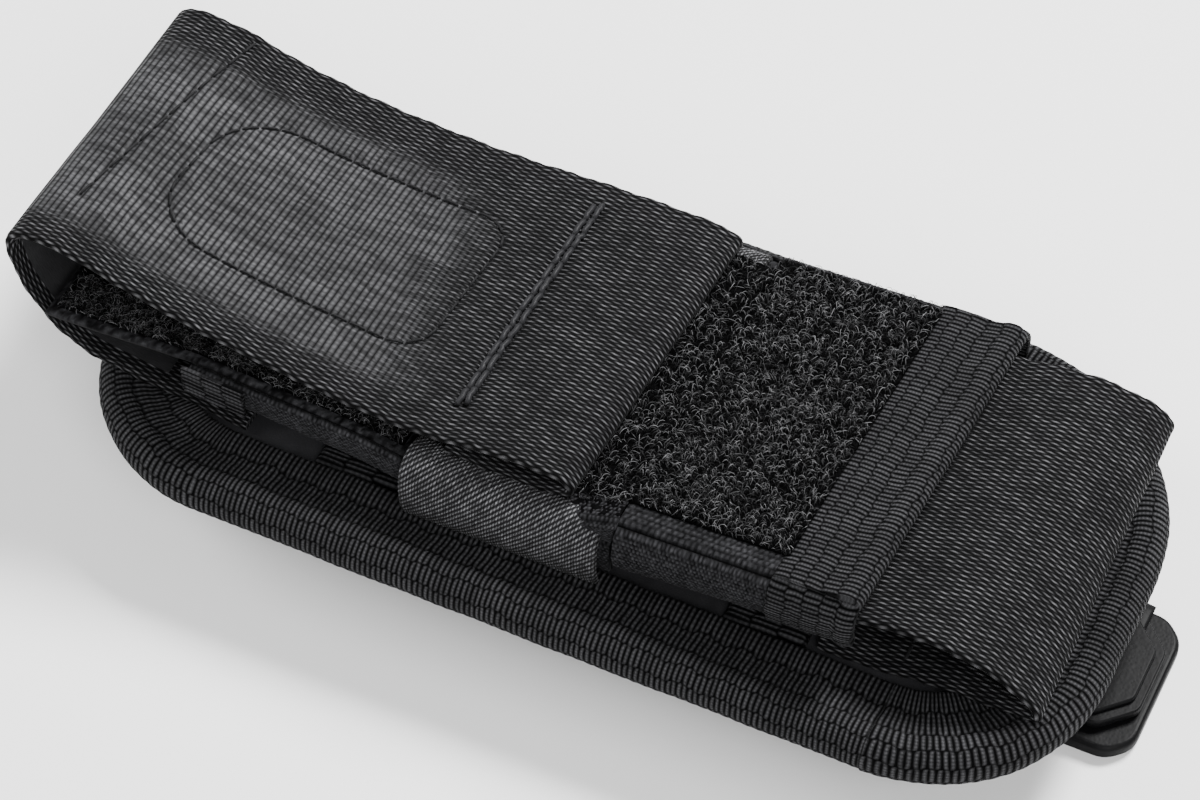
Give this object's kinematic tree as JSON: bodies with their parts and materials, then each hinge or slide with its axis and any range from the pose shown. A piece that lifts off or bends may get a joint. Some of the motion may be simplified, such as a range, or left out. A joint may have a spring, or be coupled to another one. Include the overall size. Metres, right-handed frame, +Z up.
{
  "type": "tool sheath",
  "caption": "Black nylon multi-tool sheath with a webbing closure flap, loop-fastener front panel, elastic retaining band, adjustable bottom loop and plastic belt clip.",
  "frame": {"origin": "centre of the overall length and width, on the surface that the belt clip's outer leaf lies on", "axes": "+X along the sheath towards its bottom end, +Y across it, +Z up out of its front face"},
  "size_m": [0.1601, 0.0774, 0.0377],
  "materials": {
    "nylon_cloth": "matt woven nylon",
    "webbing": "woven nylon webbing with a slight sheen",
    "grosgrain": "ribbed grosgrain",
    "loop_fastener": "fuzzy loop pile",
    "hook_fastener": "hook pile",
    "elastic_knit": "knitted elastic",
    "clip_plastic": "pebble-grained satin plastic",
    "stiffener_plastic": "smooth sheet"
  },
  "bodies": {
    "sheath": {"back_panel": "nylon_cloth", "panel_binding": "grosgrain", "cross_tape_upper": "grosgrain", "cross_tape_lower": "grosgrain", "rear_webbing_top": "webbing", "rear_webbing_middle": "webbing", "rear_webbing_bottom": "webbing", "front_panel": "nylon_cloth", "front_stiffener": "stiffener_plastic", "loop_patch_upper": "loop_fastener", "side_wall_near": "nylon_cloth", "side_wall_far": "nylon_cloth", "mouth_binding_near": "grosgrain", "mouth_binding_far": "grosgrain", "elastic_band": "elastic_knit", "flap_loop_lower": "webbing", "bottom_loop_lower": "webbing", "clip_inner_leaf": "clip_plastic", "clip_ear_near": "clip_plastic", "clip_ear_far": "clip_plastic", "clip_pin": "clip_plastic"},
    "flap": {"flap_strap": "webbing", "flap_hem": "webbing", "hook_patch": "hook_fastener"},
    "front_end": {"front_end": "nylon_cloth", "loop_patch_lower": "loop_fastener", "end_binding": "grosgrain", "end_wall_near": "nylon_cloth", "end_wall_far": "nylon_cloth"},
    "bottom_strap": {"bottom_loop_upper": "webbing", "bottom_hook_patch": "hook_fastener"},
    "clip_leaf": {"clip_outer_leaf": "clip_plastic"},
    "clip_latch": {"clip_latch": "clip_plastic"}
  },
  "joints": [
    {"name": "flap_hinge", "type": "hinge", "parent": "sheath", "child": "flap", "pos_m": [-0.08005, 0, 0.03475], "axis": [0, -1, 0], "range_deg": [0, 100]},
    {"name": "front_end_peel", "type": "hinge", "parent": "sheath", "child": "front_end", "pos_m": [0.01185, 0, 0.0256], "axis": [0, -1, 0], "range_deg": [0, 30]},
    {"name": "bottom_strap_slide", "type": "slide", "parent": "sheath", "child": "bottom_strap", "axis": [-1, 0, 0], "range_m": [0, 0.006]},
    {"name": "clip_hinge", "type": "hinge", "parent": "sheath", "child": "clip_leaf", "pos_m": [-0.06515, 0, 0.0046], "axis": [0, 1, 0], "range_deg": [0, 35]},
    {"name": "latch_flex", "type": "hinge", "parent": "sheath", "child": "clip_latch", "pos_m": [0.06445, 0, 0.0094], "axis": [0, -1, 0], "range_deg": [0, 8], "stiffness_Nm_per_rad": 0.4}
  ]
}
